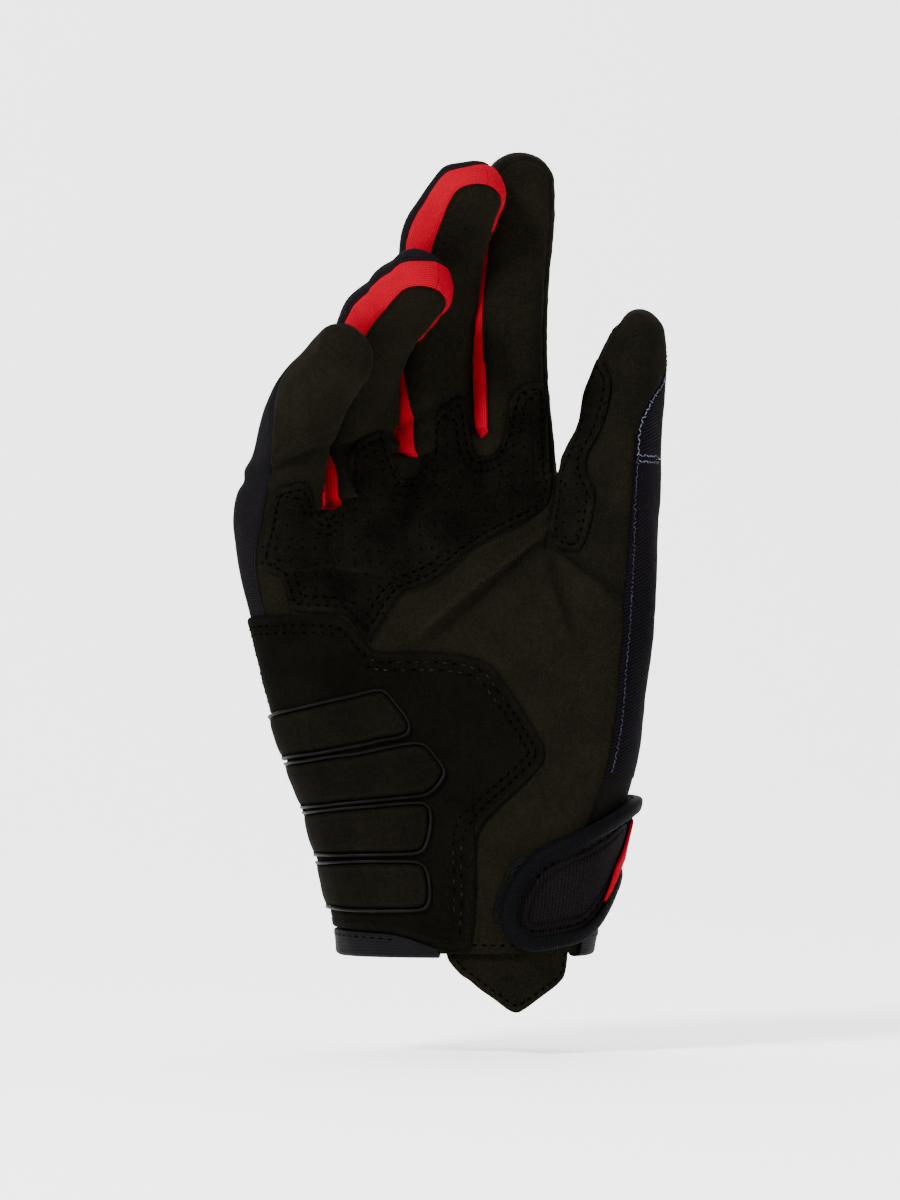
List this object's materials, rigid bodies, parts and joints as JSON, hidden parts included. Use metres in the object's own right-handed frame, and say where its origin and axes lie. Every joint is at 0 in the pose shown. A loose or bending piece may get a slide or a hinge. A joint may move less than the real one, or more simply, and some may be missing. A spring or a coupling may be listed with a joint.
{
  "type": "glove",
  "caption": "Right-hand padded riding glove with suede palm, knit back, padded heel and hook-and-loop wrist strap, in its worn shape.",
  "frame": {"origin": "centre of the wrist opening, in the plane of the cuff's seam line", "axes": "+Z from the wrist to the fingertips, +X towards the thumb, the palm faces -Y"},
  "size_m": [0.1225, 0.0774, 0.2443],
  "materials": {
    "suede": "brown-black synthetic suede, napped",
    "suede_heel": "darker synthetic suede with double stitching",
    "suede_patch": "perforated synthetic suede",
    "suede_pad": "suede over foam",
    "rim_rubber": "satin dark grey rubber bead",
    "back_knit": "blue-black stretch cloth",
    "red_knit": "bright red stretch knit",
    "twill": "black twill",
    "gusset_knit": "dark stretch knit",
    "cuff_elastic": "dark blue elastic binding",
    "strap_knit": "black knit",
    "ribbed_binding": "cross-ribbed black binding",
    "hook_tape": "black hook tape"
  },
  "bodies": {
    "root": {"palm_panel": "suede", "back_panel": "back_knit", "fourchette_ring_little": "red_knit", "fourchette_middle_ring": "red_knit", "fourchette_index_middle": "red_knit", "index_thumb_strip": "suede", "thumb_front": "suede", "thumb_outer_upper": "twill", "thumb_outer_lower": "twill", "wrist_gusset": "gusset_knit", "palm_patch": "suede_patch", "thumb_patch": "suede_patch", "heel_patch": "suede_heel", "heel_pad_1": "suede_pad", "pad_rim_1": "rim_rubber", "heel_pad_2": "suede_pad", "pad_rim_2": "rim_rubber", "heel_pad_3": "suede_pad", "pad_rim_3": "rim_rubber", "heel_pad_4": "suede_pad", "pad_rim_4": "rim_rubber", "cuff_binding": "cuff_elastic", "pull_tab": "suede", "strap_hook": "hook_tape", "wrist_strap": "strap_knit", "strap_binding": "ribbed_binding", "strap_red_panel": "red_knit"}
  },
  "joints": []
}
